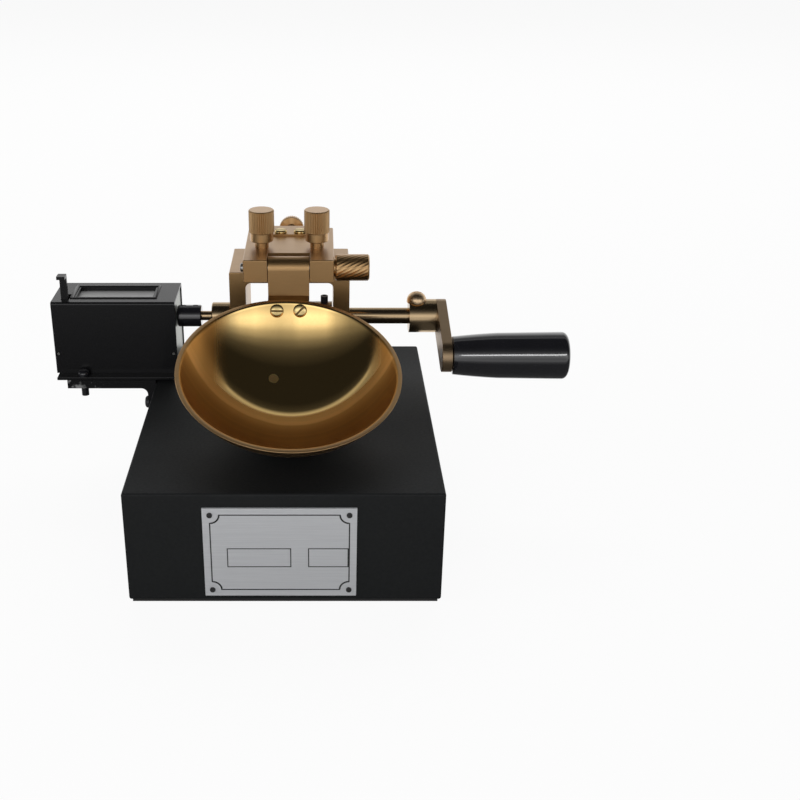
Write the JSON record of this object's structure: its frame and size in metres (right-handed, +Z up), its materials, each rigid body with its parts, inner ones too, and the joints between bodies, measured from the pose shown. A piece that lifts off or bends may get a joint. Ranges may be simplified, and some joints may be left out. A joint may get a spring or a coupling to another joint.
{
  "type": "liquid limit device",
  "caption": "Hand-cranked soil liquid limit device: a brass cup on a hinge is lifted by a cam and dropped on a hard rubber base, with a turn counter.",
  "frame": {"origin": "centre of the underside of the base", "axes": "+X along the crankshaft towards the handle, +Y from the cup towards the frame, +Z up"},
  "size_m": [0.2334, 0.1653, 0.1282],
  "materials": {
    "hard_rubber": "satin black hard rubber",
    "foot_rubber": "matt black",
    "plate_aluminium": "brushed, with a black printed border",
    "bronze": "satin, oiled tan brown",
    "bright_brass": "polished",
    "cup_brass": "polished inside, satin rim and outside",
    "spring_steel": "plain steel",
    "dark_steel": "blackened",
    "case_paint": "semi-gloss black",
    "side_paint": "light grey",
    "grip_plastic": "gloss black",
    "lens": "clear pane over the figures",
    "wheel_plastic": "off-white with black figures"
  },
  "bodies": {
    "base": {"base_block": "hard_rubber", "base_pad": "foot_rubber", "name_plate": "plate_aluminium", "plate_rivets": "spring_steel", "frame": "bronze", "frame_screws": "dark_steel", "shaft_bushes": "bronze", "adjusting_post": "bronze", "counter_case": "case_paint", "case_rivets": "spring_steel", "counter_side_right": "side_paint", "counter_side_left": "side_paint", "wheel_plate": "side_paint", "counter_base": "case_paint", "counter_window": "lens", "window_frame": "case_paint", "wheel_axle": "spring_steel", "pinion_axle": "spring_steel", "transfer_pinions": "wheel_plastic", "lever_pin": "spring_steel", "counter_bracket": "case_paint", "bracket_screws": "dark_steel", "counter_bolts": "dark_steel"},
    "carriage": {"carriage": "bronze", "keeper_plate": "bronze", "keeper_screws": "bright_brass"},
    "lock_left": {"lock_screw_left": "bronze"},
    "lock_right": {"lock_screw_right": "bronze"},
    "pin": {"hinge_pin": "spring_steel", "pin_knob": "bronze"},
    "adjuster": {"adjusting_screw": "bronze", "adjusting_clip": "spring_steel"},
    "cup": {"cup": "cup_brass", "cup_hanger": "bronze", "cam_follower": "bronze", "follower_screw": "dark_steel", "cup_screws": "bright_brass", "cup_nuts": "bright_brass"},
    "crank": {"crankshaft": "bronze", "cam": "dark_steel", "cam_screw": "dark_steel", "shaft_collar": "bronze", "crank_hub": "bronze", "crank_screw": "bright_brass", "crank_arm": "bronze", "handle_spindle": "spring_steel", "coupling_tube": "case_paint", "coupling_screws": "dark_steel", "drive_shaft": "spring_steel"},
    "grip": {"handle_grip": "grip_plastic"},
    "units_wheel": {"units_wheel": "wheel_plastic"},
    "upper_wheels": {"upper_wheels": "wheel_plastic"},
    "lever": {"reset_lever": "case_paint"}
  },
  "joints": [
    {"name": "crank_turn", "type": "hinge", "parent": "base", "child": "crank", "pos_m": [0, 0.047, 0.0767], "axis": [-1, 0, 0], "range_deg": [0, 340]},
    {"name": "grip_spin", "type": "hinge", "parent": "crank", "child": "grip", "pos_m": [0.1, 0.01582, 0.0695], "axis": [1, 0, 0], "continuous": true},
    {"name": "adjust_turn", "type": "hinge", "parent": "carriage", "child": "adjuster", "pos_m": [0, 0.075, 0.107], "axis": [0, -1, 0], "range_deg": [0, 1440]},
    {"name": "carriage_slide", "type": "slide", "parent": "base", "child": "carriage", "axis": [0, -1, 0], "range_m": [0, 0.0028]},
    {"name": "cup_swing", "type": "hinge", "parent": "carriage", "child": "cup", "pos_m": [0, 0.03, 0.106], "axis": [-1, 0, 0], "range_deg": [0, 8.69]},
    {"name": "pin_turn", "type": "hinge", "parent": "carriage", "child": "pin", "pos_m": [0, 0.03, 0.106], "axis": [1, 0, 0], "range_deg": [0, 720]},
    {"name": "lock_left_turn", "type": "hinge", "parent": "base", "child": "lock_left", "pos_m": [-0.0125, 0.045, 0.111], "axis": [0, 0, 1], "range_deg": [0, 360]},
    {"name": "lock_right_turn", "type": "hinge", "parent": "base", "child": "lock_right", "pos_m": [0.0125, 0.045, 0.111], "axis": [0, 0, 1], "range_deg": [0, 360]},
    {"name": "units_wheel_turn", "type": "hinge", "parent": "base", "child": "units_wheel", "pos_m": [-0.0695, 0.047, 0.0767], "axis": [-1, 0, 0], "range_deg": [0, 36]},
    {"name": "upper_wheels_turn", "type": "hinge", "parent": "base", "child": "upper_wheels", "pos_m": [-0.085, 0.047, 0.0767], "axis": [-1, 0, 0], "range_deg": [0, 324]},
    {"name": "reset_press", "type": "hinge", "parent": "base", "child": "lever", "pos_m": [-0.1033, 0.0405, 0.066], "axis": [-1, 0, 0], "range_deg": [0, 8], "stiffness_Nm_per_rad": 0.05}
  ],
  "couplings": [
    {"joint": "cup_swing", "follows": "crank_turn", "ratio": 0.025529},
    {"joint": "adjust_turn", "follows": "carriage_slide", "rad_per_m": 8976},
    {"joint": "units_wheel_turn", "follows": "crank_turn", "ratio": 0.1}
  ]
}
